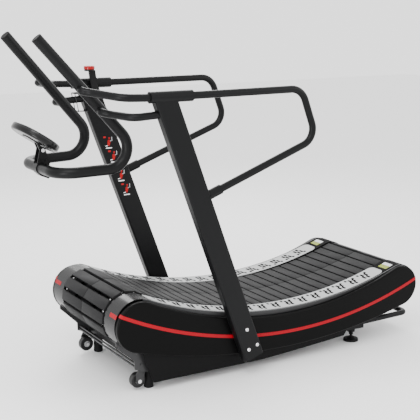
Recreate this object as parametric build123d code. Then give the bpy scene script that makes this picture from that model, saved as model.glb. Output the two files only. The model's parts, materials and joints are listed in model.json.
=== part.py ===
from build123d import *
import math
import os

# Curved manual treadmill, modelled in millimetres.
# +X runs from the console end to the rear, +Y to the user's right and +Z up.
# Lengths along X are measured from the front feet; save() moves everything so
# that the origin lies on the floor, midway along and across the machine.
FEET_TO_ORIGIN = 538.1

# Slat belt: two drums, a sagging deck above and a slack return run below.
FRONT_DRUM = (-82, 336)
REAR_DRUM = (1448, 286)
FRONT_WRAP_R = 124
REAR_WRAP_R = 106
DECK_R = 2000
RETURN_R = 4000
SLAT_PITCH = 61
TREAD_W = 51
TREAD_T = 7
CORE_W = 42
CORE_T = 5
SLAT_HALF = 229
BELT_T = 7
BELT_Y = (184, 214)
BELT_GAP = 0.3

# Covers: the deck cover follows the belt, the side panel hangs lower outside it.
COVER_FRONT = (-82, 334, 120)
COVER_REAR = (1448, 286, 112)
COVER_TOP_R = 1990
COVER_BOTTOM_R = 3300
COVER_T = 4
COVER_Y = (236, 346)
PANEL_FRONT = (-82, 328, 118)
PANEL_REAR = (1443, 289, 107)
PANEL_TOP_R = 1800
PANEL_BOTTOM_R = 2940
PANEL_T = 3
PANEL_Y = (352.3, 377.3)
PANEL_ROUND = 9
FRONT_CAP_END = -25
REAR_CAP_START = 1358
STRIP_T = 3
STRIP_Y = (239, 340)
STRIPE_LOW = (765, 170)
STRIPE_R = 2100
STRIPE_W = 16
STRIPE_T = 0.6

# Frame
RAIL_Y = (237, 243)
RAIL_INSET = 5
BEAM = 50
BASE_TUBE_Y = 318
FRONT_BEAM_Z = 115
REAR_BEAM_Z = 106
REAR_BEAM_L = 40
REAR_BEAM_H = 36
REAR_FOOT_X = 1209
FRONT_FOOT_Y = 277
REAR_FOOT_Y = 262
SHAFT_R = 15
FIT = 0.05

# Uprights and hand rails
UPRIGHT_TOP = (32, 1330)
UPRIGHT_FOOT = (491, 96)
UPRIGHT_W = 104
UPRIGHT_Y = (378, 430)
UPRIGHT_T = 3
SLEEVE_Y = 412
SLEEVE_Z = 1352
RAIL_R = 17
SLEEVE_R = 25
LOOP_Y = 408
RAIL_CORNER = (840, 1117.5)
RAIL_END = (262, 907.3)
HANDLE_R = 24.5
HANDLE_TIP = (-455, 190, 1600)
HANDLE_HEEL = (43, 238, 1032)
BOLTS = ((443, 243), (501, 159), (454, 142))

# Transport wheels
WHEEL = (-64, 50)
WHEEL_Y = 286
WHEEL_R = 35.3
WHEEL_W = 32

# Resistance lever and magnetic brake (right side)
LEVER_PIVOT = (66, 1262)
LEVER_TOP = (43, 1416)
LEVER_Y = 369
DISC_Y = 300
DISC_R = 96
YOKE_PIVOT = (58, 262)

# Console
CONSOLE = (-404, 1161)
CONSOLE_TILT = 34
CONSOLE_PIVOT = (-380, 1104)
CONSOLE_L = 268
CONSOLE_W = 224
CONSOLE_T = 34
CROSSBAR = (-386, 1023)


def save(name, part):
    """Write one sub-part in the machine's frame."""
    export_step(Pos(-FEET_TO_ORIGIN, 0, 0) * part, f"parts/{name}.step")


def group(solids):
    """Separate solids that share one node."""
    return Compound(children=list(solids))


def unit(x, z):
    length = math.hypot(x, z)
    return (x / length, z / length)


def meeting_point(a, b, from_a, from_b):
    """The higher point at given distances from two points."""
    gap = math.hypot(b[0] - a[0], b[1] - a[1])
    ux, uz = unit(b[0] - a[0], b[1] - a[1])
    along = (from_a**2 - from_b**2 + gap**2) / (2 * gap)
    up = math.sqrt(from_a**2 - along**2)
    return (a[0] + along * ux - up * uz, a[1] + along * uz + up * ux)


def turned(centre, radius, degrees):
    a = math.radians(degrees)
    return (centre[0] + radius * math.cos(a), centre[1] + radius * math.sin(a))


def heading(a, b):
    return math.degrees(math.atan2(b[1] - a[1], b[0] - a[0]))


class Banana:
    """Closed outline of four tangent arcs: hollow top, two noses, sagging bottom."""

    def __init__(self, front, front_r, rear, rear_r, top_r, bottom_r):
        self.front, self.front_r = front, front_r
        self.rear, self.rear_r = rear, rear_r
        self.top_r, self.bottom_r = top_r, bottom_r
        self.top_c = meeting_point(front, rear, top_r + front_r, top_r + rear_r)
        self.low_c = meeting_point(front, rear, bottom_r - front_r, bottom_r - rear_r)

    def arcs(self, grow=0.0):
        """(centre, radius, start angle, swept angle) of each arc, from the deck's front end on."""
        front_up = heading(self.front, self.top_c)
        rear_up = heading(self.rear, self.top_c)
        rear_down = heading(self.low_c, self.rear)
        front_down = heading(self.low_c, self.front)
        return [
            (self.top_c, self.top_r - grow, front_up + 180, rear_up - front_up),
            (self.rear, self.rear_r + grow, rear_up, rear_down - rear_up),
            (self.low_c, self.bottom_r + grow, rear_down, front_down - rear_down),
            (self.front, self.front_r + grow, front_down + 360, front_up - front_down - 360),
        ]

    def face(self, grow=0.0):
        """The outline in the XZ plane, as a face at y = 0."""
        edges = []
        for centre, radius, start, sweep in self.arcs(grow):
            ends = [turned(centre, radius, start + sweep * t) for t in (0, 0.5, 1)]
            edges.append(ThreePointArc(*[(x, 0, z) for x, z in ends]))
        return Face(Wire(edges))

    def length(self, grow=0.0):
        return sum(r * math.radians(abs(sweep)) for _, r, _, sweep in self.arcs(grow))

    def station(self, distance, grow=0.0):
        """Point and outward direction at a distance along the outline, and the arc's index."""
        left = distance % self.length(grow)
        for index, (centre, radius, start, sweep) in enumerate(self.arcs(grow)):
            run = radius * math.radians(abs(sweep))
            if left <= run:
                angle = start + sweep * left / run
                point = turned(centre, radius, angle)
                out = unit(point[0] - centre[0], point[1] - centre[1])
                return point, (out if index else (-out[0], -out[1])), index
            left -= run
        return self.station(0, grow)


belt = Banana(FRONT_DRUM, FRONT_WRAP_R, REAR_DRUM, REAR_WRAP_R, DECK_R, RETURN_R)
cover = Banana(COVER_FRONT[:2], COVER_FRONT[2], COVER_REAR[:2], COVER_REAR[2],
               COVER_TOP_R, COVER_BOTTOM_R)
panel = Banana(PANEL_FRONT[:2], PANEL_FRONT[2], PANEL_REAR[:2], PANEL_REAR[2],
               PANEL_TOP_R, PANEL_BOTTOM_R)


def slab(face, y0, y1):
    """A face at y = 0 made into a plate between two Y planes."""
    return extrude(Pos(0, y0, 0) * face, amount=y1 - y0, dir=(0, 1, 0))


def outline(points):
    """A straight-sided face in the XZ plane."""
    return Face(Wire(Polyline(*[(x, 0, z) for x, z in points], close=True)))


def block(x0, x1, y0, y1, z0, z1):
    centre = ((x0 + x1) / 2, (y0 + y1) / 2, (z0 + z1) / 2)
    return Pos(*centre) * Box(x1 - x0, y1 - y0, z1 - z0)


def rod_y(x, z, radius, y0, y1):
    """A cylinder along Y."""
    return Pos(x, (y0 + y1) / 2, z) * Rot(90, 0, 0) * Cylinder(radius, y1 - y0)


def rod_z(x, y, radius, z0, z1):
    return Pos(x, y, (z0 + z1) / 2) * Cylinder(radius, z1 - z0)


def ring_y(x, z, radius, bore, y0, y1):
    return rod_y(x, z, radius, y0, y1) - rod_y(x, z, bore, y0 - 1, y1 + 1)


def mirror_y(part):
    return mirror(part, about=Plane.XZ)


def bar(path, radius, wall=0.0):
    """A round bar, or a tube if it has a wall, along a path."""
    start = Plane(origin=path @ 0, z_dir=path % 0)
    solid = sweep(start * Circle(radius), path=path)
    if wall:
        solid -= sweep(start * Circle(radius - wall), path=path)
    return solid


def upright_at(z):
    """X of the upright's centre line at a height."""
    share = (UPRIGHT_TOP[1] - z) / (UPRIGHT_TOP[1] - UPRIGHT_FOOT[1])
    return UPRIGHT_TOP[0] + share * (UPRIGHT_FOOT[0] - UPRIGHT_TOP[0])


def upright_volume(inset=0.0):
    """The right upright's box section, run up past the hand rail's sleeve."""
    rise = (UPRIGHT_TOP[0] - UPRIGHT_FOOT[0], 0, UPRIGHT_TOP[1] - UPRIGHT_FOOT[1])
    foot = (UPRIGHT_FOOT[0], sum(UPRIGHT_Y) / 2, UPRIGHT_FOOT[1])
    start = Plane(origin=foot, x_dir=(0, 1, 0), z_dir=rise)
    section = RectangleRounded(UPRIGHT_Y[1] - UPRIGHT_Y[0] - 2 * inset, UPRIGHT_W - 2 * inset, 9 - inset)
    return extrude(start * section, amount=math.hypot(rise[0], rise[2]) + 40)


# ---------------------------------------------------------------- slat belt

def belt_stations(shift):
    """Evenly spaced points on the drive belt's outer face: slats at a shift of 0.5, gaps at 0."""
    grow = -(TREAD_T + CORE_T)
    length = belt.length(grow)
    count = round(length / SLAT_PITCH)
    return [belt.station((i + shift) * length / count, grow) for i in range(count)]


def on_belt(station, lift, solid):
    """Place a solid made about its own origin so its +Z points out of the belt."""
    (x, z), (ox, oz), _ = station
    turn = math.degrees(math.atan2(ox, oz))
    return Pos(x + lift * ox, 0, z + lift * oz) * Rot(0, turn, 0) * solid


def tread_bar():
    """A rubber tread, its two long top edges chamfered."""
    bar_ = Box(TREAD_W, 2 * SLAT_HALF, TREAD_T)
    long_tops = bar_.edges().filter_by(Axis.Y).group_by(Axis.Z)[-1]
    return chamfer(long_tops, 1.5)


def make_treads():
    names = {0: "deck_treads", 1: "return_treads", 2: "return_treads", 3: "front_treads"}
    runs = {}
    lift = BELT_GAP + CORE_T + TREAD_T / 2
    for station in belt_stations(0.5):
        runs.setdefault(names[station[2]], []).append(on_belt(station, lift, tread_bar()))
    for name, solids in runs.items():
        save(name, group(solids))


def make_slat_cores():
    lift = BELT_GAP + CORE_T / 2
    core = Box(CORE_W, 2 * SLAT_HALF - 4, CORE_T)
    save("slat_cores", group(on_belt(s, lift, core) for s in belt_stations(0.5)))


def make_slat_bolts():
    """Bolt heads on the drive belts, in the gaps between slat cores."""
    head_y = sum(BELT_Y) / 2 + 8
    lift = BELT_GAP + 2
    heads = []
    for station in belt_stations(0):
        for side in (-1, 1):
            heads.append(on_belt(station, lift, Pos(0, side * head_y, 0) * Cylinder(4.3, 4)))
    save("slat_bolts", group(heads))


def make_drive_belts():
    out = -(TREAD_T + CORE_T)
    loop = slab(belt.face(out), *BELT_Y) - slab(belt.face(out - BELT_T), BELT_Y[0] - 1, BELT_Y[1] + 1)
    save("drive_belts", group([loop, mirror_y(loop)]))


def guide_points():
    """Centres of the guide bearings under the deck run's slat ends."""
    radius = 12
    grow = -(TREAD_T + CORE_T) - radius - BELT_GAP
    deck_run = belt.arcs(grow)[0]
    run = deck_run[1] * math.radians(abs(deck_run[3]))
    count = int((run - 160) / SLAT_PITCH)
    first = (run - (count - 1) * SLAT_PITCH) / 2
    return [belt.station(first + i * SLAT_PITCH, grow)[0] for i in range(count)], radius


def make_guides():
    """Ball bearings that carry the slat ends, on pins in the side rails."""
    points, radius = guide_points()
    pin_r = 4
    rings = []
    pins = []
    for x, z in points:
        ring = ring_y(x, z, radius, pin_r, 218, 228)
        pin = rod_y(x, z, pin_r, 215, RAIL_Y[0]) + rod_y(x, z, 7, 229, RAIL_Y[0])
        rings += [ring, mirror_y(ring)]
        pins += [pin, mirror_y(pin)]
    save("guide_bearings", group(rings))
    save("guide_pins", group(pins))


# ---------------------------------------------------------------- drums and brake

def pulley(centre, radius, y0, y1):
    """A flanged belt pulley with a hub and round windows."""
    x, z = centre
    wheel = rod_y(x, z, radius, y0 + 2, y1 - 2) + rod_y(x, z, radius + 3.5, y0, y0 + 2)
    wheel += rod_y(x, z, radius + 3.5, y1 - 2, y1)
    wheel -= rod_y(x, z, SHAFT_R, y0 - 1, y1 + 1)
    for i in range(6):
        wx, wz = turned(centre, radius * 0.6, 60 * i)
        wheel -= rod_y(wx, wz, radius * 0.17, y0 - 1, y1 + 1)
    return wheel


def make_drum(name, centre, wrap_r, half_shaft):
    """A shaft with two belt pulleys and a spacer tube between them."""
    x, z = centre
    radius = wrap_r - TREAD_T - CORE_T - BELT_T - BELT_GAP
    right = pulley(centre, radius, BELT_Y[0] - 4, BELT_Y[1] + 2.5)
    spacer = ring_y(x, z, 30, SHAFT_R, -(BELT_Y[0] - 4), BELT_Y[0] - 4)
    save(f"{name}_shaft", rod_y(x, z, SHAFT_R, -half_shaft[0], half_shaft[1]))
    save(f"{name}_pulleys", group([right, mirror_y(right), spacer]))


def make_shaft_bearings():
    """Flanged bearing housings bolted to the outside of the side rails."""
    blocks = []
    for x, z in (FRONT_DRUM, REAR_DRUM):
        flange = rod_y(x, z, 42, RAIL_Y[1], RAIL_Y[1] + 7) + rod_y(x, z, 28, RAIL_Y[1] + 7, RAIL_Y[1] + 19)
        flange -= rod_y(x, z, SHAFT_R + FIT, RAIL_Y[1] - 1, RAIL_Y[1] + 20)
        blocks += [flange, mirror_y(flange)]
    save("shaft_bearings", group(blocks))


def make_brake_disc():
    x, z = FRONT_DRUM
    disc = ring_y(x, z, DISC_R, SHAFT_R + FIT, DISC_Y - 3, DISC_Y + 3)
    hub = ring_y(x, z, 27, SHAFT_R + FIT, DISC_Y - 14, DISC_Y - 3)
    save("brake_disc", disc + hub)


def make_magnet_yoke():
    """A fork with magnets either side of the disc's rim, swinging on a pin."""
    px, pz = YOKE_PIVOT
    dx, dz = unit(FRONT_DRUM[0] - px, FRONT_DRUM[1] - pz)
    nx, nz = -dz, dx
    wide = 24
    near_end = -16
    far_end = 84

    def arm(y0, y1, start, end):
        corners = [(start, -wide), (end, -wide), (end, wide), (start, wide)]
        face = outline([(px + a * dx + b * nx, pz + a * dz + b * nz) for a, b in corners])
        return slab(face, y0, y1)

    yoke = arm(DISC_Y - 16, DISC_Y - 5, near_end, far_end)
    yoke += arm(DISC_Y + 5, DISC_Y + 16, near_end, far_end)
    yoke += arm(DISC_Y - 16, DISC_Y + 16, near_end, 40)
    yoke -= rod_y(px, pz, 6 + FIT, DISC_Y - 20, DISC_Y + 20)
    save("magnet_yoke", yoke)


def make_pivot_pins():
    """The yoke's pin on the right rail, the lever's on the right upright, the console's in its clamp."""
    px, pz = YOKE_PIVOT
    yoke_pin = rod_y(px, pz, 6, RAIL_Y[1], DISC_Y + 22) + rod_y(px, pz, 10, DISC_Y + 17, DISC_Y + 22)
    yoke_pin += rod_y(px, pz, 11, RAIL_Y[1], DISC_Y - 17)
    lx, lz = LEVER_PIVOT
    lever_pin = rod_y(lx, lz, 6, LEVER_Y - 12, UPRIGHT_Y[0]) + rod_y(lx, lz, 10, LEVER_Y - 12, LEVER_Y - 7)
    cx, cz = CONSOLE_PIVOT
    console_pin = rod_y(cx, cz, 4, -30, 30)
    console_pin += rod_y(cx, cz, 8, 22.2, 28) + rod_y(cx, cz, 8, -28, -22.2)
    save("pivot_pins", group([yoke_pin, lever_pin, console_pin]))


def cable_exit():
    """Where the brake cable leaves the upright, behind its bolts."""
    return (upright_at(210) + 22, 210)


def make_brake_cable():
    """The lever's cable, down inside the right upright and forward to the yoke."""
    inside = sum(UPRIGHT_Y) / 2
    hidden_y = 366
    exit_x, exit_z = cable_exit()
    end = (YOKE_PIVOT[0] + 34, DISC_Y, YOKE_PIVOT[1] - 6)
    route = [
        (upright_at(1225) + 22, inside, 1225),
        (exit_x, inside, exit_z),
        (exit_x, hidden_y, exit_z),
        (end[0] + 60, hidden_y, 250),
        (end[0] + 20, end[1], end[2]),
        end,
    ]
    save("brake_cable", bar(FilletPolyline(*route, radius=[14, 14, 30, 20]), 2.5))


# ---------------------------------------------------------------- frame

def cross_member(x):
    top = belt.top_c[1] - math.sqrt(belt.top_r**2 - (x - belt.top_c[0])**2)
    low = belt.low_c[1] - math.sqrt(belt.bottom_r**2 - (x - belt.low_c[0])**2)
    mid = (top + low) / 2
    tube = block(x - 30, x + 30, -RAIL_Y[0], RAIL_Y[0], mid - 20, mid + 20)
    return tube - block(x - 27, x + 27, -RAIL_Y[0] - 1, RAIL_Y[0] + 1, mid - 17, mid + 17)


def make_rails():
    rail = slab(cover.face(-RAIL_INSET), *RAIL_Y)
    for x, z in (FRONT_DRUM, REAR_DRUM):
        rail -= rod_y(x, z, SHAFT_R + 3, RAIL_Y[0] - 1, RAIL_Y[1] + 1)
    save("right_side_rail", rail)
    save("left_side_rail", mirror_y(rail))
    save("cross_members", group(cross_member(x) for x in (250, 770, 1250)))


def make_base_frame():
    """Welded base: two cross beams, two long tubes and the uprights' blocks."""
    half = BASE_TUBE_Y + 20
    front = block(-15, BEAM - 15, -half, half, FRONT_BEAM_Z - BEAM / 2, FRONT_BEAM_Z + BEAM / 2)
    rear_x = (REAR_FOOT_X - REAR_BEAM_L / 2, REAR_FOOT_X + REAR_BEAM_L / 2)
    rear = block(*rear_x, -half, half, REAR_BEAM_Z - REAR_BEAM_H / 2, REAR_BEAM_Z + REAR_BEAM_H / 2)
    side = slab(outline([(0, FRONT_BEAM_Z - 22), (REAR_FOOT_X, REAR_BEAM_Z - 17),
                         (REAR_FOOT_X, REAR_BEAM_Z + 17), (0, FRONT_BEAM_Z + 22)]),
                BASE_TUBE_Y - 20, BASE_TUBE_Y + 20)
    for x0, x1, beam_z, low, top in ((20, 60, FRONT_BEAM_Z, 175, 215),
                                     (REAR_FOOT_X - 19, REAR_FOOT_X + 19, REAR_BEAM_Z, 144, 172)):
        side += block(x0, x1, 262, 292, beam_z, top) + block(x0, x1, RAIL_Y[1], 292, low, top)
    ux, uz = BOLTS[0]
    high = block(ux - 24, ux + 24, BASE_TUBE_Y + 10, PANEL_Y[1] - PANEL_T - 0.5, uz - 17, uz + 17)
    high += block(ux - 24, ux + 24, BASE_TUBE_Y - 10, BASE_TUBE_Y + 20, 110, uz + 17)
    low = block(432, 524, BASE_TUBE_Y + 10, PANEL_Y[1] - PANEL_T - 0.5, 120, 178)
    half_frame = side + high + low
    for x, z in BOLTS:
        half_frame -= rod_y(x, z, 5 + FIT, 335, 400)
    frame = front + rear + half_frame + mirror_y(half_frame)
    for x, y in ((0, FRONT_FOOT_Y), (REAR_FOOT_X, REAR_FOOT_Y)):
        for side_y in (-y, y):
            frame -= rod_z(x, side_y, 6 + FIT, 60, REAR_BEAM_Z + 12)
    save("base_frame", frame)


def make_feet():
    """Plain legs at the front, screw-in levelling feet at the rear."""
    front = []
    rear = []
    beam_low = REAR_BEAM_Z - REAR_BEAM_H / 2
    for side in (-1, 1):
        y = side * FRONT_FOOT_Y
        leg = rod_z(0, y, 23, 0, FRONT_BEAM_Z - BEAM / 2)
        leg = chamfer(leg.edges().group_by(Axis.Z)[0], 3)
        front.append(leg + rod_z(0, y, 6, FRONT_BEAM_Z - BEAM / 2, FRONT_BEAM_Z))
        y = side * REAR_FOOT_Y
        pad = rod_z(REAR_FOOT_X, y, 39, 0, 13)
        pad = fillet(pad.edges().group_by(Axis.Z)[-1], 4)
        cone = Pos(REAR_FOOT_X, y, 18) * Cone(26, 13, 10)
        stem = rod_z(REAR_FOOT_X, y, 6, 20, REAR_BEAM_Z + 10)
        nut = Pos(REAR_FOOT_X, y, 34) * extrude(RegularPolygon(12, 6), 9)
        sleeve = rod_z(REAR_FOOT_X, y, 20, 50, beam_low)
        rear.append(pad + cone + stem + nut + sleeve)
    save("front_feet", group(front))
    save("rear_feet", group(rear))


def make_wheel_brackets():
    """Grey plates in front of the skirts, joined by a bar and two rods, carrying the wheels."""
    y0, y1 = 318, 323
    wx, wz = WHEEL
    shape = [(-184, 262), (-184, 242), (-94, 154), (-92, 114), (-66, 104), (-30, 92), (-15, 100),
             (-15, 168), (-62, 204), (-104, 262)]
    plate = slab(outline(shape), y0, y1)
    plate -= slab(cover.face(0.5), y0 - 1, y1 + 1)
    lug = slab(outline([(-68, 108), (-34, 94), (wx + 20, wz), (wx + 10, wz - 15), (wx - 8, wz - 15),
                        (wx - 18, wz), (wx - 16, 82)]), 306, 311)
    lug += block(-62, -38, 306, y0, 96, 112)
    lug -= rod_y(wx, wz, 5 + FIT, 300, 320)
    both = plate + lug
    for x, z in ((-82, 196), (-60, 133)):
        both += rod_y(x, z, 6, y1, y1 + 4)
    rods = rod_y(-79, 135, 5, -y0, y0) + rod_y(-83, 121, 5, -y0, y0)
    crossbar = block(-98, -84, -y0, y0, 184, 205)
    save("wheel_brackets", both + mirror_y(both) + rods + crossbar)


def make_wheels():
    x, z = WHEEL
    hub_r = 16
    axles = []
    for name, side in (("left", -1), ("right", 1)):
        y0 = WHEEL_Y - WHEEL_W / 2
        y1 = WHEEL_Y + WHEEL_W / 2
        tyre = rod_y(x, z, WHEEL_R, y0, y1)
        tyre = fillet(tyre.edges(), 4) - rod_y(x, z, hub_r, y0 - 1, y1 + 1)
        hub = ring_y(x, z, hub_r, 5 + FIT, y0 + 1, y1 - 1)
        axle = rod_y(x, z, 5, y0 - 9, 316) + rod_y(x, z, 8, y0 - 9, y0 - 3)
        axle += rod_y(x, z, 9, 311, 316)
        if side < 0:
            tyre, hub, axle = mirror_y(tyre), mirror_y(hub), mirror_y(axle)
        save(f"{name}_wheel_tyre", tyre)
        save(f"{name}_wheel_hub", hub)
        axles.append(axle)
    save("wheel_axles", group(axles))


def make_lifting_handle():
    """U-shaped tube under the rear that is lifted to roll the machine on its wheels."""
    y = 288
    end_x = 1564
    root_x = REAR_FOOT_X + REAR_BEAM_L / 2 + 0.6
    path = FilletPolyline((root_x, -y, 99), (end_x, -y, 104), (end_x, y, 104), (root_x, y, 99), radius=34)
    save("lifting_handle", bar(path, 14, 2.5))


# ---------------------------------------------------------------- covers

def make_panels():
    y0, y1 = PANEL_Y
    shell = slab(panel.face(), y0, y1)
    shell = fillet(shell.edges().group_by(Axis.Y)[-1], PANEL_ROUND)
    shell -= slab(panel.face(-PANEL_T), y0 - 1, y1 - PANEL_T)
    for x, z in BOLTS:
        shell -= rod_y(x, z, 5.4, y1 - 5, y1 + 1)
    cable_hole = rod_y(*cable_exit(), 5, y1 - 5, y1 + 1)
    save("right_side_panel", shell - cable_hole)
    save("left_side_panel", mirror_y(shell))


def make_skirts():
    """Flat plates below the side panels, down to the floor clearance."""
    low_edge = [(-75, 216), (-10, 46), (450, 43), (600, 43), (740, 51), (920, 62), (1090, 74)]
    rear_and_top = [(1105, 96), (1105, 150), (640, 120), (150, 180)]
    plate = slab(outline(low_edge + rear_and_top), 346, 351)
    plate -= block(405, 535, 340, 360, 108, 200)
    save("skirts", group([plate, mirror_y(plate)]))


def make_deck_covers():
    """Black cover beside the belt, light grip strip on it and a metal lip outside."""
    y0, y1 = COVER_Y
    ring = slab(cover.face(), y0, y1) - slab(cover.face(-COVER_T), y0 - 1, y1 + 1)
    front = ring & block(-300, FRONT_CAP_END, 0, 400, 0, 600)
    rear = ring & block(REAR_CAP_START, 1700, 0, 400, 0, 600)
    above = block(FRONT_CAP_END, REAR_CAP_START, 0, 400, 262, 600)
    middle = ring & above
    save("right_deck_cover", middle)
    save("left_deck_cover", mirror_y(middle))
    save("front_end_caps", group([front, mirror_y(front)]))
    save("rear_end_caps", group([rear, mirror_y(rear)]))
    layer = slab(cover.face(STRIP_T), *STRIP_Y) - slab(cover.face(), STRIP_Y[0] - 1, STRIP_Y[1] + 1)
    plan = Pos((FRONT_CAP_END + REAR_CAP_START) / 2, sum(STRIP_Y) / 2, 0)
    long = REAR_CAP_START - FRONT_CAP_END - 12
    wide = STRIP_Y[1] - STRIP_Y[0] - 0.2
    cutter = extrude(plan * RectangleRounded(long, wide, 26), amount=600)
    strip = layer & cutter & block(-100, 1500, 0, 400, 262, 600)
    save("right_foot_strip", strip)
    save("left_foot_strip", mirror_y(strip))
    lip = slab(cover.face(1), y1 + 0.3, PANEL_Y[0] - 0.3)
    lip -= slab(cover.face(-38), y1 - 1, PANEL_Y[0] + 1)
    lip &= block(-60, 1450, 0, 400, 262, 600) + block(200, 1300, 0, 400, 244, 262)
    save("edge_lips", group([lip, mirror_y(lip)]))


def panel_volume(grow):
    """The side panel's outer shape without its hollow, grown all over."""
    shape = slab(panel.face(grow), PANEL_Y[0], PANEL_Y[1] + grow)
    return fillet(shape.edges().group_by(Axis.Y)[-1], PANEL_ROUND + grow)


def make_stripes():
    """Raised red band round each panel from edge to edge, and its end on the front cap."""
    centre = (STRIPE_LOW[0], STRIPE_LOW[1] + STRIPE_R)
    half = STRIPE_W / 2
    ring = Pos(centre[0], 0, centre[1]) * Rot(90, 0, 0) * (Circle(STRIPE_R + half) - Circle(STRIPE_R - half))
    sweep_band = extrude(Pos(0, PANEL_Y[0] + 1, 0) * ring, amount=40, dir=(0, 1, 0))
    sweep_band &= block(-300, 1700, 300, 400, STRIPE_LOW[1] - STRIPE_W, 600)
    band = (panel_volume(STRIPE_T) - panel_volume(0)) & sweep_band
    layer = slab(cover.face(STRIPE_T), 281, COVER_Y[1]) - slab(cover.face(), 280, COVER_Y[1] + 1)
    end = layer & block(-230, -120, 280, 346, 376, 393)
    save("side_stripes", group([band, end, mirror_y(band), mirror_y(end)]))


# ---------------------------------------------------------------- uprights and rails

def make_uprights():
    """Leaning box tubes with the hand rail's sleeve on top and its socket behind."""
    outer = upright_volume()
    tube = outer - upright_volume(UPRIGHT_T)
    tube -= block(-100, 200, 300, 500, SLEEVE_Z - 6, 1500)
    sleeve = ring_x(-48, 160, SLEEVE_Y, SLEEVE_Z, SLEEVE_R, RAIL_R)
    socket_start = socket_plane(-18)
    socket = extrude(socket_start * Circle(22), amount=68) - outer
    bore = extrude(socket_start * Circle(RAIL_R), amount=90)
    tube = tube - rod_x(-60, 170, SLEEVE_Y, SLEEVE_Z, SLEEVE_R)
    upright = tube + sleeve + socket - bore
    for x, z in BOLTS:
        upright -= rod_y(x, z, 5 + FIT, UPRIGHT_Y[0] - 1, UPRIGHT_Y[1] + 1)
    save("left_upright", mirror_y(upright))
    upright -= rod_y(*cable_exit(), 5, UPRIGHT_Y[0] - 1, UPRIGHT_Y[0] + 4)
    save("right_upright", upright)
    heads = []
    for x, z in BOLTS:
        bolt = rod_y(x, z, 5, 362, UPRIGHT_Y[1]) + rod_y(x, z, 9, UPRIGHT_Y[1], UPRIGHT_Y[1] + 5)
        heads += [bolt, mirror_y(bolt)]
    save("upright_bolts", group(heads))


def rod_x(x0, x1, y, z, radius):
    return Pos((x0 + x1) / 2, y, z) * Rot(0, 90, 0) * Cylinder(radius, x1 - x0)


def ring_x(x0, x1, y, z, radius, bore):
    return rod_x(x0, x1, y, z, radius) - rod_x(x0 - 1, x1 + 1, y, z, bore)


def socket_plane(shift=0.0):
    """Plane across the hand rail's lower run, near the upright, facing up the rail."""
    run_x, run_z = unit(RAIL_CORNER[0] - RAIL_END[0], RAIL_CORNER[1] - RAIL_END[1])
    base = Plane(origin=(RAIL_END[0], LOOP_Y, RAIL_END[1]), z_dir=(run_x, 0, run_z))
    return base.offset(shift)


def make_hand_rails():
    """Rear loops: from the sleeve back, down and forward again to the socket."""
    path = FilletPolyline((62, SLEEVE_Y, SLEEVE_Z), (200, SLEEVE_Y, SLEEVE_Z), (750, LOOP_Y, 1354),
                          (RAIL_CORNER[0], LOOP_Y, RAIL_CORNER[1]), (RAIL_END[0], LOOP_Y, RAIL_END[1]),
                          radius=[600, 84, 76])
    loop = bar(path, RAIL_R, 2)
    save("right_hand_rail", loop)
    save("left_hand_rail", mirror_y(loop))


def make_front_rails():
    """Two rails from each upright forward and in, each turned into the side of the handlebar."""
    upper = FilletPolyline((50, SLEEVE_Y, SLEEVE_Z), (-60, SLEEVE_Y, SLEEVE_Z), (-165, SLEEVE_Y - 3, 1356),
                           (-255, 272, 1372), (-290, 252, 1379), arm_point(1387),
                           radius=[400, 75, 90, 18.5])
    lower = FilletPolyline((20, 404, 1277), (-118, 404, 1270), (-168, 290, 1276), (-202, 256, 1284),
                           arm_point(1290), radius=[60, 60, 20])
    rails = [bar(upper, RAIL_R, 2), bar(lower, RAIL_R, 2) - upright_volume()]
    bar_volume = bar(handle_path(), HANDLE_R)
    rails = [rail - bar_volume for rail in rails]
    save("front_rails", group(rails + [mirror_y(rail) for rail in rails]))


def arm_point(z):
    """The right handlebar arm's centre at a height."""
    share = (z - HANDLE_HEEL[2]) / (HANDLE_TIP[2] - HANDLE_HEEL[2])
    return tuple(low + share * (high - low) for low, high in zip(HANDLE_HEEL, HANDLE_TIP))


def handle_path():
    """Down the left arm, round the crossbar and up the right arm."""
    right = [HANDLE_TIP, HANDLE_HEEL, (CROSSBAR[0], 214, CROSSBAR[1])]
    left = [(x, -y, z) for x, y, z in right]
    return FilletPolyline(*left, *reversed(right), radius=[93, 100, 100, 93])


def make_handlebar():
    path = handle_path()
    save("handlebar", bar(path, HANDLE_R, 2.5))
    caps = []
    for at, way in ((0, -1), (1, 1)):
        out = (path % at) * way
        end = Plane(origin=path @ at, z_dir=out)
        plug = extrude(end * Circle(HANDLE_R - 0.5), amount=4)
        plug = fillet(plug.faces().sort_by(lambda f: f.center().dot(out))[-1].edges(), 2.5)
        stub = extrude(Plane(origin=path @ at, z_dir=-out) * Circle(HANDLE_R - 2.6), amount=20)
        caps.append(plug + stub)
    save("handle_caps", group(caps))


# ---------------------------------------------------------------- lever, cage, console

def make_lever():
    """Flat resistance lever with a round knob, swinging on a pin in the upright."""
    px, pz = LEVER_PIVOT
    tx, tz = LEVER_TOP
    reach = math.hypot(tx - px, tz - pz)
    dx, dz = unit(tx - px, tz - pz)
    half = 17
    corners = [(-22, -half), (reach, -half), (reach, half), (-22, half)]
    blade = outline([(px + a * dx + b * dz, pz + a * dz - b * dx) for a, b in corners])
    lever = slab(blade, LEVER_Y - 5, LEVER_Y + 5)
    lever -= rod_y(px, pz, 6 + FIT, LEVER_Y - 10, LEVER_Y + 10)
    lever += rod_z(tx - 13, LEVER_Y, 25, tz - 1, tz + 8)
    save("resistance_lever", lever)
    knob = rod_z(tx - 13, LEVER_Y, 27, tz + 8, tz + 24)
    save("lever_knob", fillet(knob.edges().group_by(Axis.Z)[-1], 6))


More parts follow.
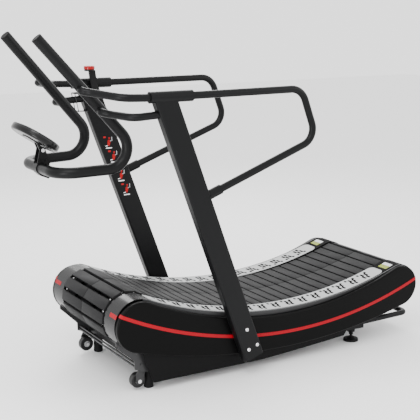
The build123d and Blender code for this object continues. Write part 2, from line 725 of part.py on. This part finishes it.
def make_accessory_cage():
    """Small wire cage on the front of the right upright, around the lower front rail."""
    y = sum(UPRIGHT_Y) / 2
    half = 24
    rim_z = 1306
    tray_z = 1216
    rim_x = -46
    tray_x = -28
    rim = FilletPolyline((30, y - half, rim_z), (rim_x, y - half, rim_z), (rim_x, y + half, rim_z),
                         (30, y + half, rim_z), radius=10)
    cage = bar(rim, 2.5) + block(tray_x, 60, y - half, y + half, tray_z - 1.5, tray_z + 1.5)
    for side in (-21, 21):
        post = Polyline((rim_x + 2, y + side, rim_z), (tray_x + 2, y + side, tray_z))
        cage += bar(post, 2)
    save("accessory_cage", cage - upright_volume())


def console_plane(lift=0.0):
    """Plane of the console's face; local X runs across the machine, Y up the slope."""
    a = math.radians(CONSOLE_TILT)
    up = (math.sin(a), 0, math.cos(a))
    base = Plane(origin=(CONSOLE[0], 0, CONSOLE[1]), x_dir=(0, 1, 0), z_dir=up)
    return base.offset(lift)


def make_console():
    """A flat oval housing of two halves with a window and two keys, on a clamp."""
    half_t = CONSOLE_T / 2
    back = extrude(console_plane(-half_t) * Ellipse(CONSOLE_L / 2, CONSOLE_W / 2), amount=half_t + 4)
    back = fillet(back.edges().sort_by(Axis.Z)[0], 12)
    face_h = half_t - 4
    front = extrude(console_plane(4) * Ellipse(CONSOLE_L / 2, CONSOLE_W / 2), amount=face_h)
    front = fillet(front.edges().sort_by(Axis.Z)[-1], 9)
    window_base = console_plane(half_t - 3) * Pos(0, 14)
    window = extrude(window_base * RectangleRounded(149.8, 87.8, 9.9), amount=3.4)
    front -= extrude(window_base * RectangleRounded(150, 88, 10), amount=10)
    key_y = -60
    for name, x in (("mode_button", -34), ("reset_button", 34)):
        well = console_plane(half_t - 4) * Pos(x, key_y)
        front -= extrude(well * RectangleRounded(36.8, 16.8, 6.4), amount=10)
        key = extrude(console_plane(half_t - 2) * Pos(x, key_y) * RectangleRounded(36, 16, 6), amount=3.5)
        save(name, key)
    save("console_back", back)
    save("console_front", front)
    save("console_window", window)


def make_console_mount():
    """Clamp around the crossbar, and the hinge ears under the housing on a pin."""
    bx, bz = CROSSBAR
    px, pz = CONSOLE_PIVOT
    fit_r = HANDLE_R + 0.02
    strap = rod_y(bx, bz, HANDLE_R + 4, -22, 22)
    cheek = slab(outline([(bx - 22, bz + 20), (bx - 4, bz - 26), (bx + 30, bz - 14), (bx + 40, bz + 26),
                          (px + 14, pz), (px - 14, pz)]), 18, 22)
    cheek += rod_y(px, pz, 14, 18, 22)
    tail = slab(outline([(bx - 22, bz - 18), (bx + 22, bz - 16), (bx + 44, bz - 36), (bx + 32, bz - 50),
                         (bx - 6, bz - 34)]), -18, 18)
    clamp = strap + cheek + mirror_y(cheek) + tail
    clamp -= rod_y(bx, bz, fit_r, -40, 40)
    clamp -= rod_y(px, pz, 4 + FIT, -40, 40)
    for x, z in ((bx - 9, bz + 38), (bx + 20, bz + 32), (bx + 30.5, bz + 12)):
        head = rod_y(x, z, 5, 22, 26)
        clamp += head + mirror_y(head)
    clamp += rod_y(bx + 32, bz - 39, 6, -24, 24)
    save("console_clamp", clamp)
    ear = slab(outline([(px - 12, pz), (px + 12, pz), (px + 30, pz + 40), (px - 44, pz + 80)]), 12, 17.5)
    ear += rod_y(px, pz, 12, 12, 17.5)
    above = extrude(console_plane(-CONSOLE_T / 2 - 4) * Rectangle(400, 300), amount=160)
    foot = extrude(console_plane(-CONSOLE_T / 2 - 4) * Pos(0, 8) * RectangleRounded(60, 80, 8), amount=4)
    hinge = ear + mirror_y(ear) - above + foot
    hinge -= rod_y(px, pz, 4 + FIT, -40, 40)
    save("console_hinge", hinge)


def main():
    os.makedirs("parts", exist_ok=True)
    make_treads()
    make_slat_cores()
    make_slat_bolts()
    make_drive_belts()
    make_guides()
    make_drum("front", FRONT_DRUM, FRONT_WRAP_R, (266, DISC_Y + 12))
    make_drum("rear", REAR_DRUM, REAR_WRAP_R, (266, 266))
    make_shaft_bearings()
    make_brake_disc()
    make_magnet_yoke()
    make_pivot_pins()
    make_brake_cable()
    make_rails()
    make_base_frame()
    make_feet()
    make_wheel_brackets()
    make_wheels()
    make_lifting_handle()
    make_panels()
    make_skirts()
    make_deck_covers()
    make_stripes()
    make_uprights()
    make_hand_rails()
    make_front_rails()
    make_handlebar()
    make_lever()
    make_accessory_cage()
    make_console()
    make_console_mount()


main()
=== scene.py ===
import json
import math

import bmesh
import bpy
from mathutils import Matrix, Vector


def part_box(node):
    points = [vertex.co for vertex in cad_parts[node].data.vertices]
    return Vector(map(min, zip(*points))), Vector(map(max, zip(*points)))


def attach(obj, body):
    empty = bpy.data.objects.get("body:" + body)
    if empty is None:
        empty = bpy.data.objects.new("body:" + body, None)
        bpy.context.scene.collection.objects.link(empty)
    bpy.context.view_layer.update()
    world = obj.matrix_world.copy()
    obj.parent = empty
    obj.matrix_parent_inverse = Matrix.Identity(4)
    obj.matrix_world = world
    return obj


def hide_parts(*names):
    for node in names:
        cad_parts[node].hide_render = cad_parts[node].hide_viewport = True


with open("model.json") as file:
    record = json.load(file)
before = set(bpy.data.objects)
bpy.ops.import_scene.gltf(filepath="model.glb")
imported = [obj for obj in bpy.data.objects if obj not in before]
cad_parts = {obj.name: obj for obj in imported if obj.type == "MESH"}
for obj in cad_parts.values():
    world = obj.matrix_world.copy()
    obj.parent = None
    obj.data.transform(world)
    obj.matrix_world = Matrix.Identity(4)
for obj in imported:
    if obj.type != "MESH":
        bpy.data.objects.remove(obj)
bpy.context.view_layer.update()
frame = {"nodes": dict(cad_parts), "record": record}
NODES = frame["nodes"]
SLOT_OF = {s["node"]: s["material_slot"] for s in frame["record"]["subparts"]}


# ------------------------------------------------------------ places, in metres

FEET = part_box("front_feet")
FEET_TO_ORIGIN = -(FEET[0][0] + FEET[1][0]) / 2    # the origin lies this far behind the front feet


def at(x, y, z):
    """Point of the frame whose x is measured back from the front feet."""
    return Vector((x - FEET_TO_ORIGIN, y, z))


# the covers' outline is two nose circles joined on top by one shallow arc
FRONT_NOSE = (-0.082, 0.334, 0.120)
REAR_NOSE = (1.448, 0.286, 0.112)
COVER_TOP_R = 1.990
FRONT_AXIS = at(FRONT_NOSE[0], 0, FRONT_NOSE[1])
REAR_AXIS = at(REAR_NOSE[0], 0, REAR_NOSE[1])


def cover_centre():
    """Centre of the covers' top arc, which touches both nose circles."""
    (fx, fz, fr), (rx, rz, rr) = FRONT_NOSE, REAR_NOSE
    a, b = COVER_TOP_R + fr, COVER_TOP_R + rr
    gap = math.hypot(rx - fx, rz - fz)
    ux, uz = (rx - fx) / gap, (rz - fz) / gap
    along = (a * a - b * b + gap * gap) / (2 * gap)
    up = math.sqrt(a * a - along * along)
    return at(fx + along * ux - up * uz, 0, fz + along * uz + up * ux)


COVER_CENTRE = cover_centre()


# ------------------------------------------------------------ materials

MIX_A, MIX_B, MIX_RESULT = 6, 7, 2    # the colour sockets of a Mix node


def surface(name, base, rough, metal=0.0, tint=0.12, grain=220.0, bump=0.04, coat=0.0, blotch=9.0,
            spread=0.08, stretch=(1, 1, 1), spec=0.5):
    """Principled surface whose colour, roughness and relief vary with noise in object space."""
    m = bpy.data.materials.new(name)
    m.use_nodes = True
    t = m.node_tree
    t.nodes.clear()
    out = t.nodes.new("ShaderNodeOutputMaterial")
    bsdf = t.nodes.new("ShaderNodeBsdfPrincipled")
    where = t.nodes.new("ShaderNodeTexCoord")
    place = t.nodes.new("ShaderNodeMapping")
    place.inputs["Scale"].default_value = stretch
    large = t.nodes.new("ShaderNodeTexNoise")
    large.inputs["Scale"].default_value = blotch
    large.inputs["Detail"].default_value = 4
    fine = t.nodes.new("ShaderNodeTexNoise")
    fine.inputs["Scale"].default_value = grain
    fine.inputs["Detail"].default_value = 3
    tone = t.nodes.new("ShaderNodeMix")
    tone.data_type = "RGBA"
    tone.inputs[MIX_A].default_value = [c * (1 - tint) for c in base] + [1]
    tone.inputs[MIX_B].default_value = [min(1.0, c * (1 + tint)) for c in base] + [1]
    shine = t.nodes.new("ShaderNodeMapRange")
    shine.inputs["To Min"].default_value = max(0.02, rough - spread)
    shine.inputs["To Max"].default_value = min(1.0, rough + spread)
    relief = t.nodes.new("ShaderNodeBump")
    relief.inputs["Strength"].default_value = bump
    relief.inputs["Distance"].default_value = 0.001
    link = t.links.new
    link(where.outputs["Object"], place.inputs["Vector"])
    link(place.outputs["Vector"], large.inputs["Vector"])
    link(place.outputs["Vector"], fine.inputs["Vector"])
    link(large.outputs["Fac"], tone.inputs["Factor"])
    link(large.outputs["Fac"], shine.inputs["Value"])
    link(fine.outputs["Fac"], relief.inputs["Height"])
    link(tone.outputs[MIX_RESULT], bsdf.inputs["Base Color"])
    link(shine.outputs["Result"], bsdf.inputs["Roughness"])
    link(relief.outputs["Normal"], bsdf.inputs["Normal"])
    link(bsdf.outputs["BSDF"], out.inputs["Surface"])
    bsdf.inputs["Metallic"].default_value = metal
    bsdf.inputs["Coat Weight"].default_value = coat
    bsdf.inputs["Coat Roughness"].default_value = 0.08
    bsdf.inputs["Specular IOR Level"].default_value = spec
    return m


# one look for each material slot of the CAD nodes
SLOT_LOOKS = {
    "tread_rubber": dict(base=(0.0095, 0.0095, 0.0099), rough=0.6, bump=0.2, grain=900, blotch=14,
                         spec=0.11),
    "slat_core": dict(base=(0.012, 0.012, 0.0125), rough=0.45, spec=0.2),
    "bolt_steel": dict(base=(0.72, 0.72, 0.73), rough=0.25, metal=1.0, bump=0.02),
    "belt_rubber": dict(base=(0.004, 0.004, 0.004), rough=0.7, spec=0.12),
    "bearing_steel": dict(base=(0.5, 0.5, 0.52), rough=0.3, metal=1.0),
    # painted shade: the shaft and pulleys get a near-black colour so that the drums' insides look dark
    # through the gaps between the slats
    "shaft_steel": dict(base=(0.04, 0.04, 0.042), rough=0.42, metal=0.5, stretch=(1, 12, 1), spec=0.25),
    "pulley_aluminium": dict(base=(0.04, 0.04, 0.042), rough=0.45, metal=0.4, spec=0.2),
    "bearing_housing": dict(base=(0.10, 0.10, 0.11), rough=0.5, metal=0.3, bump=0.2, grain=400),
    "disc_aluminium": dict(base=(0.66, 0.67, 0.69), rough=0.25, metal=1.0),
    "yoke_steel": dict(base=(0.02, 0.02, 0.022), rough=0.4, spec=0.35),
    "cable_black": dict(base=(0.007, 0.007, 0.008), rough=0.45, spec=0.3),
    "frame_black": dict(base=(0.004, 0.004, 0.0042), rough=0.42, bump=0.12, grain=700, spec=0.12),
    "foot_rubber": dict(base=(0.004, 0.004, 0.0042), rough=0.6, bump=0.1, spec=0.12),
    "bracket_grey": dict(base=(0.03, 0.03, 0.031), rough=0.32, metal=0.4, bump=0.08, grain=600, spec=0.3),
    "wheel_tyre": dict(base=(0.005, 0.005, 0.0053), rough=0.36, bump=0.15, grain=500, spec=0.25),
    "wheel_hub": dict(base=(0.42, 0.425, 0.43), rough=0.3, metal=0.7),
    "tube_black": dict(base=(0.0042, 0.0043, 0.0046), rough=0.34, bump=0.16, grain=1100, tint=0.08,
                       spec=0.11),
    "panel_black": dict(base=(0.0014, 0.0014, 0.0014), rough=0.4, bump=0.05, grain=900, tint=0.08,
                        spread=0.04, spec=0.06),
    "skirt_black": dict(base=(0.0022, 0.0022, 0.0023), rough=0.44, bump=0.08, grain=900, spec=0.08),
    "cover_black": dict(base=(0.003, 0.003, 0.0031), rough=0.6, bump=0.12, grain=800, spec=0.03),
    "cap_dark": dict(base=(0.008, 0.008, 0.0083), rough=0.24, metal=0.12, bump=0.03, grain=900,
                     coat=0.08, spec=0.14),
    "strip_grey": dict(base=(0.36, 0.365, 0.365), rough=0.5, bump=0.2, grain=700, tint=0.05, spec=0.3),
    "lip_silver": dict(base=(0.035, 0.035, 0.036), rough=0.42, metal=0.5, spec=0.25),
    "stripe_red": dict(base=(0.26, 0.0006, 0.007), rough=0.34, tint=0.05, bump=0.02, spec=0.1),
    "cap_rubber": dict(base=(0.0035, 0.0035, 0.0035), rough=0.55, bump=0.1, spec=0.12),
    "lever_black": dict(base=(0.004, 0.004, 0.0042), rough=0.36, spec=0.14),
    "knob_red": dict(base=(0.26, 0.001, 0.002), rough=0.24, coat=0.12, tint=0.05, spec=0.2),
    "wire_black": dict(base=(0.02, 0.02, 0.021), rough=0.4, metal=0.4),
    "console_black": dict(base=(0.0038, 0.0038, 0.004), rough=0.26, bump=0.08, grain=900, spec=0.2),
    "console_grey": dict(base=(0.006, 0.006, 0.0065), rough=0.2, bump=0.06, grain=900, spec=0.3),
    "window_clear": dict(base=(0.30, 0.33, 0.32), rough=0.16, tint=0.04, bump=0.0, coat=0.5),
    "clamp_black": dict(base=(0.0045, 0.0045, 0.0047), rough=0.34, bump=0.1, spec=0.16),
    "key_dark": dict(base=(0.11, 0.11, 0.12), rough=0.42, bump=0.06),
}
# and one for each small thing that only this script makes
DETAIL_LOOKS = {
    "mark_black": dict(base=(0.002, 0.002, 0.002), rough=0.8, bump=0.1, spec=0.02),
    "label_yellow": dict(base=(0.20, 0.24, 0.003), rough=0.42, tint=0.06, bump=0.02, spec=0.2),
    "label_white": dict(base=(0.55, 0.56, 0.55), rough=0.42, tint=0.04, bump=0.02, spec=0.2),
    "sticker_red": dict(base=(0.32, 0.003, 0.004), rough=0.4, tint=0.05, bump=0.02, spec=0.15),
    "sticker_white": dict(base=(0.75, 0.75, 0.75), rough=0.4, tint=0.04, bump=0.02),
    "sticker_grey": dict(base=(0.30, 0.31, 0.32), rough=0.4, tint=0.04, bump=0.02),
    "segment_dark": dict(base=(0.03, 0.035, 0.035), rough=0.4, tint=0.04, bump=0.02),
    "floor_pale": dict(base=(0.90, 0.90, 0.90), rough=0.6, tint=0.01, bump=0.0, grain=40),
}
MATS = {name: surface(name, **look) for name, look in {**SLOT_LOOKS, **DETAIL_LOOKS}.items()}
for node, obj in NODES.items():
    obj.data.materials.clear()
    obj.data.materials.append(MATS[SLOT_OF[node]])


# ------------------------------------------------------------ mesh helpers

SHARP_ANGLE = math.radians(40)


def facing(origin, along, out):
    """Matrix whose local X lies along one direction and local Z along another, at right angles to it."""
    x = Vector(along).normalized()
    z = Vector(out).normalized()
    m = Matrix((x, z.cross(x), z)).transposed().to_4x4()
    m.translation = Vector(origin)
    return m


def rounded(width, height, radius, steps=5):
    """Outline of a rounded rectangle about the origin."""
    pts = []
    for cx, cy, start in ((1, 1, 0), (-1, 1, 90), (-1, -1, 180), (1, -1, 270)):
        for i in range(steps + 1):
            a = math.radians(start + 90 * i / steps)
            pts.append((cx * (width / 2 - radius) + radius * math.cos(a),
                        cy * (height / 2 - radius) + radius * math.sin(a)))
    return pts


def disc(radius, steps=28):
    """Outline of a circle about the origin."""
    turns = [2 * math.pi * i / steps for i in range(steps)]
    return [(radius * math.cos(a), radius * math.sin(a)) for a in turns]


def shifted(outline, dx, dy):
    """The outline moved in its own plane."""
    return [(x + dx, y + dy) for x, y in outline]


def ring(bm, outline, z, place):
    """Vertices along an outline at one local height."""
    return [bm.verts.new(place @ Vector((x, y, z))) for x, y in outline]


def skin(bm, rings):
    """Closes a stack of rings with side faces and two ends."""
    n = len(rings[0])
    for a, b in zip(rings, rings[1:]):
        for i in range(n):
            bm.faces.new((a[i], a[(i + 1) % n], b[(i + 1) % n], b[i]))
    bm.faces.new(rings[-1])
    bm.faces.new(list(reversed(rings[0])))


def shrunk(outline, inset):
    """The outline with each point moved towards the middle by the inset."""
    cx = sum(x for x, _ in outline) / len(outline)
    cy = sum(y for _, y in outline) / len(outline)
    pts = []
    for x, y in outline:
        k = max(0.0, 1 - inset / (math.hypot(x - cx, y - cy) or 1.0))
        pts.append((cx + (x - cx) * k, cy + (y - cy) * k))
    return pts


def prism(bm, outline, low, high, place, bevel=0.0):
    """Adds an outline extruded between two local heights, its upper rim bevelled."""
    rows = [(low, 0.0), (high, 0.0)]
    if bevel:
        rows = [(low, 0.0), (high - bevel, 0.0), (high - bevel * 0.3, bevel * 0.3), (high, bevel)]
    skin(bm, [ring(bm, shrunk(outline, inset), z, place) for z, inset in rows])


def new_object(bm, name, material):
    """Turns a bmesh into a linked object, smooth except at sharp edges."""
    bmesh.ops.recalc_face_normals(bm, faces=bm.faces)
    mesh = bpy.data.meshes.new(name)
    bm.to_mesh(mesh)
    bm.free()
    obj = bpy.data.objects.new(name, mesh)
    bpy.context.scene.collection.objects.link(obj)
    mesh.materials.append(MATS[material])
    for p in mesh.polygons:
        p.use_smooth = True
    mesh.set_sharp_from_angle(angle=SHARP_ANGLE)
    return obj


def new_piece(bm, name, material, body="frame"):
    """A visible piece that rides on a CAD body."""
    obj = new_object(bm, name, material)
    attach(obj, body)
    return obj


def patch(name, outline, thick, place, material):
    """A thin flat piece, such as a sticker."""
    bm = bmesh.new()
    prism(bm, outline, 0, thick, place)
    new_piece(bm, name, material)


def islands(node):
    """The separate solids of a CAD node, each as a list of its points."""
    bm = bmesh.new()
    bm.from_mesh(NODES[node].data)
    bmesh.ops.remove_doubles(bm, verts=bm.verts, dist=1e-6)
    bm.verts.ensure_lookup_table()
    seen = set()
    found = []
    for v in bm.verts:
        if v.index in seen:
            continue
        stack, points = [v], []
        seen.add(v.index)
        while stack:
            w = stack.pop()
            points.append(w.co.copy())
            for e in w.link_edges:
                o = e.other_vert(w)
                if o.index not in seen:
                    seen.add(o.index)
                    stack.append(o)
        found.append(points)
    bm.free()
    return found


def lengthwise(points, mid):
    """Direction in the XZ plane in which the points spread furthest."""
    sxx = sum((p.x - mid.x) ** 2 for p in points)
    szz = sum((p.z - mid.z) ** 2 for p in points)
    sxz = sum((p.x - mid.x) * (p.z - mid.z) for p in points)
    angle = 0.5 * math.atan2(2 * sxz, sxx - szz)
    return Vector((math.cos(angle), 0, math.sin(angle)))


# ------------------------------------------------------------ slats

TREAD_T = 0.007
SLAT_HALF = 0.229         # half a slat's length, across the machine
SLAT_SEAM = 0.0024        # between its two moulded halves
TREAD_INSET = 0.0004      # a moulded half is this much narrower than the CAD tread
TREAD_CORNER, TREAD_BEVEL = 0.0022, 0.0012
DECK_REACH = 0.06         # the deck run stays this close outside the covers' top arc
BOLT_HEAD_R, BOLT_HEAD_H = 0.0043, 0.004


def outward(mid, along):
    """Normal of a slat, pointing away from the inside of the belt's loop."""
    normal = Vector((-along.z, 0, along.x))
    if mid.x < FRONT_AXIS.x:
        away = mid - FRONT_AXIS
    elif mid.x > REAR_AXIS.x:
        away = mid - REAR_AXIS
    else:
        from_centre = math.hypot(mid.x - COVER_CENTRE.x, mid.z - COVER_CENTRE.z)
        away = Vector((0, 0, 1 if from_centre < COVER_TOP_R + DECK_REACH else -1))
    return normal if normal.dot(away) > 0 else -normal


def make_slats():
    """Each tread as two moulded rubber halves with a seam between them."""
    length = SLAT_HALF - SLAT_SEAM / 2
    for run in ("deck_treads", "front_treads", "return_treads"):
        bm = bmesh.new()
        for points in islands(run):
            mid = sum(points, Vector()) / len(points)
            along = lengthwise([p for p in points if p.y > 0], mid)
            out = outward(mid, along)
            reach = [(p - mid).dot(along) for p in points]
            outline = rounded(max(reach) - min(reach) - TREAD_INSET, length, TREAD_CORNER, 2)
            for side in (-1, 1):
                centre = mid + Vector((0, side * (SLAT_HALF - length / 2), 0))
                prism(bm, outline, -TREAD_T / 2, TREAD_T / 2, facing(centre, along, out), TREAD_BEVEL)
        piece = new_piece(bm, run + "_moulded", "tread_rubber")
        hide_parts(run)


# ------------------------------------------------------------ foot strips

STRIP_T = 0.003
STRIP_R = COVER_TOP_R - STRIP_T
STRIP_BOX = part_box("right_foot_strip")
STRIP_Y = (STRIP_BOX[0][1] + STRIP_BOX[1][1]) / 2
PLAIN_FRONT, PLAIN_REAR = 0.025, 0.035    # the strip's ends without marks
STRIP_FROM, STRIP_TO = STRIP_BOX[0][0] + PLAIN_FRONT, STRIP_BOX[1][0] - PLAIN_REAR
MARK_PITCH = 0.0815
FIRST_CLUSTER, LAST_CLUSTER = -9, 9       # counted from the bottom of the arc
CLUSTER_START = 0.012                     # radians past the bottom of the arc
MARK_W, MARK_CORNER, MARK_BEVEL = 0.0112, 0.0048, 0.0003
MARK_SINK, MARK_RISE = 0.0008, 0.0012
# each mark of a cluster: place along the strip, place across it, length across it
MARKS = ((-0.013, 0.016, 0.0336), (0.007, 0.024, 0.02912), (-0.004, -0.013, 0.03136),
         (0.016, -0.006, 0.0336), (-0.022, -0.029, 0.01792), (0.026, -0.027, 0.01792))


def make_strip_marks():
    """Dark raised grip marks in clusters along the light foot strips."""
    bm = bmesh.new()
    for side in (-1, 1):
        for i in range(FIRST_CLUSTER, LAST_CLUSTER + 1):
            start = (i * MARK_PITCH) / STRIP_R + math.radians(-90) + CLUSTER_START
            for du, dv, length in MARKS:
                theta = start + du / STRIP_R
                x = COVER_CENTRE.x + STRIP_R * math.cos(theta)
                z = COVER_CENTRE.z + STRIP_R * math.sin(theta)
                if not STRIP_FROM < x < STRIP_TO:
                    continue
                along = (-math.sin(theta), 0, math.cos(theta))
                out = (-math.cos(theta), 0, -math.sin(theta))
                place = facing((x, side * (STRIP_Y + dv), z), along, out)
                prism(bm, rounded(MARK_W, length, MARK_CORNER, 3), -MARK_SINK, MARK_RISE, place, MARK_BEVEL)
    new_piece(bm, "strip_marks", "mark_black")


# ------------------------------------------------------------ labels and stickers

LABEL_X, LABEL_Y, LABEL_L = 1.388, 0.296, 0.062
LABEL_CORNER, LABEL_T, STICKER_T = 0.003, 0.0005, 0.0004
# each part of a label: material, place behind LABEL_X, width
LABEL_PARTS = (("yellow", 0.0, 0.026), ("white", 0.024, 0.022))
STICKER_Y = 0.378         # the right upright's inner face
STICKERS = ((0.130, 1.050), (0.156, 0.977), (0.196, 0.876), (0.226, 0.801))


def make_cap_labels():
    """Small two-tone notice on each rear cap."""
    for name, side in (("left", -1), ("right", 1)):
        for part, behind, width in LABEL_PARTS:
            x = LABEL_X - FEET_TO_ORIGIN + behind
            z = COVER_CENTRE.z - math.sqrt(COVER_TOP_R**2 - (x - COVER_CENTRE.x) ** 2)
            out = (COVER_CENTRE - Vector((x, 0, z))).normalized()
            place = facing((x, side * LABEL_Y, z), (out.z, 0, -out.x), out)
            outline = rounded(width, LABEL_L, LABEL_CORNER)
            patch(f"{name}_label_{part}", outline, LABEL_T, place, "label_" + part)


def make_stickers():
    """Four plain exercise pictograms on the right upright's inner face."""
    figure = [(-0.006, -0.014), (0.004, -0.016), (0.011, 0.004), (0.004, 0.018), (-0.005, 0.012)]
    arm = [(-0.002, -0.003), (0.016, 0.003), (0.016, 0.006), (-0.002, 0.002)]
    leg = [(-0.014, -0.003), (0.0, -0.001), (0.002, 0.003), (-0.012, 0.001)]
    parts = (("tab", shifted(rounded(0.014, 0.009, 0.002), -0.022, 0.030), "red"),
             ("figure", figure, "red"),
             ("head", shifted(disc(0.0045, 14), 0.004, 0.024), "red"),
             ("arm", shifted(arm, 0.006, 0.008), "grey"),
             ("leg", shifted(leg, -0.004, -0.014), "white"),
             ("base", shifted(rounded(0.034, 0.005, 0.002), 0.002, -0.026), "white"),
             ("post", shifted(rounded(0.004, 0.020, 0.0015), 0.018, 0.020), "grey"))
    for i, (x, z) in enumerate(STICKERS):
        place = facing(at(x, STICKER_Y, z), (1, 0, 0), (0, -1, 0))
        for part, outline, colour in parts:
            patch(f"sticker_{i + 1}_{part}", outline, STICKER_T, place, "sticker_" + colour)


# ------------------------------------------------------------ console face

CONSOLE_AT = at(-0.404, 0, 1.161)
CONSOLE_TILT = math.radians(34)
WINDOW_TOP = 0.0174       # height of the window's face over CONSOLE_AT
DIGIT_ROWS = (0.044, 0.016, -0.010)       # up the slope
DIGIT_COLUMNS = (-0.052, -0.026, 0.0, 0.026, 0.052)
BAR_CORNER, BAR_T = 0.0006, 0.0003
# the bars of a digit: place across, place up, width, height
BARS = ((0, 0.0075, 0.008, 0.0018), (0, 0, 0.008, 0.0018), (0, -0.0075, 0.008, 0.0018),
        (-0.005, 0.0038, 0.0018, 0.0062), (0.005, 0.0038, 0.0018, 0.0062),
        (-0.005, -0.0038, 0.0018, 0.0062), (0.005, -0.0038, 0.0018, 0.0062))
DIGITS = ((0, 1, 2, 3, 4, 5, 6), (0, 2, 3, 4, 5, 6), (0, 1, 2, 4, 5))


def make_console_face():
    """Rows of plain digits on the console's window."""
    up = Vector((math.sin(CONSOLE_TILT), 0, math.cos(CONSOLE_TILT)))
    slope = Vector((-math.cos(CONSOLE_TILT), 0, math.sin(CONSOLE_TILT)))
    for row, height in enumerate(DIGIT_ROWS):
        for col, across in enumerate(DIGIT_COLUMNS):
            bm = bmesh.new()
            for bar in DIGITS[(row + col) % 3]:
                dx, dy, wide, tall = BARS[bar]
                centre = CONSOLE_AT + Vector((0, across + dx, 0)) + slope * (height + dy)
                place = facing(centre, (0, 1, 0), up)
                prism(bm, rounded(wide, tall, BAR_CORNER, 2), WINDOW_TOP, WINDOW_TOP + BAR_T, place)
            new_piece(bm, f"segment_{row}_{col}", "segment_dark", "console")


# ------------------------------------------------------------ bolts

UPRIGHT_BOLTS = ((0.443, 0.243), (0.501, 0.159), (0.454, 0.142))
UPRIGHT_OUTER_Y = 0.430
UPRIGHT_HEAD_R, UPRIGHT_HEAD_H = 0.009, 0.005
SHANK_FROM_Y, SHANK_L, SHANK_R = 0.362, 0.0679, 0.0049
HEAD_PROFILE = ((0.0, 1.0), (0.45, 1.0), (0.75, 0.94), (1.0, 0.78))    # height and radius, as shares
SOCKET_SHARE, SOCKET_FLOOR = 0.48, 0.35
HEAD_STEPS = 30


def hexagon(radius):
    """Outline of a hexagon with as many points as a bolt head's rings."""
    pts = []
    for i in range(HEAD_STEPS):
        a = 2 * math.pi * i / HEAD_STEPS
        k = radius * math.cos(math.pi / 6) / math.cos((a + math.pi / 6) % (math.pi / 3) - math.pi / 6)
        pts.append((k * math.cos(a), k * math.sin(a)))
    return pts


def hex_bolt(bm, centre, out, radius, height):
    """Domed head with a hexagonal socket."""
    place = facing(centre, (0, 1, 0) if abs(out.y) < 0.9 else (1, 0, 0), out)
    rings = [ring(bm, disc(radius * share, HEAD_STEPS), height * h, place) for h, share in HEAD_PROFILE]
    socket = hexagon(radius * SOCKET_SHARE)
    rings.append(ring(bm, socket, height, place))
    rings.append(ring(bm, socket, height * SOCKET_FLOOR, place))
    skin(bm, rings)


def make_upright_bolts():
    """Three bolts through the foot of each upright."""
    bm = bmesh.new()
    for x, z in UPRIGHT_BOLTS:
        for side in (-1, 1):
            out = Vector((0, side, 0))
            hex_bolt(bm, at(x, side * UPRIGHT_OUTER_Y, z), out, UPRIGHT_HEAD_R, UPRIGHT_HEAD_H)
            prism(bm, disc(SHANK_R), 0, SHANK_L, facing(at(x, side * SHANK_FROM_Y, z), (1, 0, 0), out))
    piece = new_piece(bm, "upright_bolts_socketed", "bolt_steel")
    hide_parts("upright_bolts")


def make_slat_bolts():
    """A socketed head in place of each plain one on the slats."""
    bm = bmesh.new()
    for points in islands("slat_bolts"):
        mid = sum(points, Vector()) / len(points)
        out = outward(mid, lengthwise(points, mid))
        hex_bolt(bm, mid - out * BOLT_HEAD_H / 2, out, BOLT_HEAD_R, BOLT_HEAD_H)
    piece = new_piece(bm, "slat_bolts_socketed", "bolt_steel")
    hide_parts("slat_bolts")


# ------------------------------------------------------------ floor, light, camera

FLOOR_HALF, FLOOR_T = 14.0, 0.02
LENS, SENSOR = 84.1714, 36    # millimetres
CAMERA_AT = at(-1.972, -4.097, 1.755)
CAMERA_AIM = (0.505, 0.837, -0.209)


def make_stage():
    """Plain pale floor."""
    bm = bmesh.new()
    h = FLOOR_HALF
    prism(bm, [(-h, -h), (h, -h), (h, h), (-h, h)], -FLOOR_T, 0.0, Matrix.Identity(4))
    new_object(bm, "floor", "floor_pale")


def area(name, place, aim, size, power):
    """Rectangular light turned towards a point."""
    light = bpy.data.lights.new(name, "AREA")
    light.shape = "RECTANGLE"
    light.size, light.size_y = size
    light.energy = power
    obj = bpy.data.objects.new(name, light)
    bpy.context.scene.collection.objects.link(obj)
    obj.location = place
    obj.rotation_mode = "QUATERNION"
    obj.rotation_quaternion = (Vector(aim) - Vector(place)).to_track_quat("-Z", "Y")


def make_light():
    """Bright even surroundings and four soft area lights."""
    world = bpy.data.worlds.new("studio")
    bpy.context.scene.world = world
    world.use_nodes = True
    sky = world.node_tree.nodes["Background"]
    sky.inputs["Color"].default_value = (1.0, 1.0, 1.0, 1)
    sky.inputs["Strength"].default_value = 2.0
    area("key", (-2.6, -2.4, 4.2), (0, 0, 0.5), (2.6, 2.0), 150)
    area("fill", (3.5, -3.0, 2.6), (0.2, 0, 0.5), (2.5, 2.0), 60)
    area("back", (1.2, 3.6, 3.2), (0, 0, 0.6), (3.0, 1.6), 110)
    area("nose", (-3.4, -1.9, 0.9), (-0.6, -0.2, 0.3), (0.5, 1.4), 60)


def make_camera():
    """Long lens from the front left, a little above the handlebar."""
    data = bpy.data.cameras.new("photo_view")
    data.sensor_width = SENSOR
    data.lens = LENS
    data.clip_end = 60
    cam = bpy.data.objects.new("photo_view", data)
    bpy.context.scene.collection.objects.link(cam)
    cam.location = CAMERA_AT
    cam.rotation_mode = "QUATERNION"
    cam.rotation_quaternion = Vector(CAMERA_AIM).to_track_quat("-Z", "Y")
    bpy.context.scene.camera = cam


make_slats()
make_strip_marks()
make_cap_labels()
make_stickers()
make_console_face()
make_upright_bolts()
make_slat_bolts()
make_stage()
make_light()
make_camera()
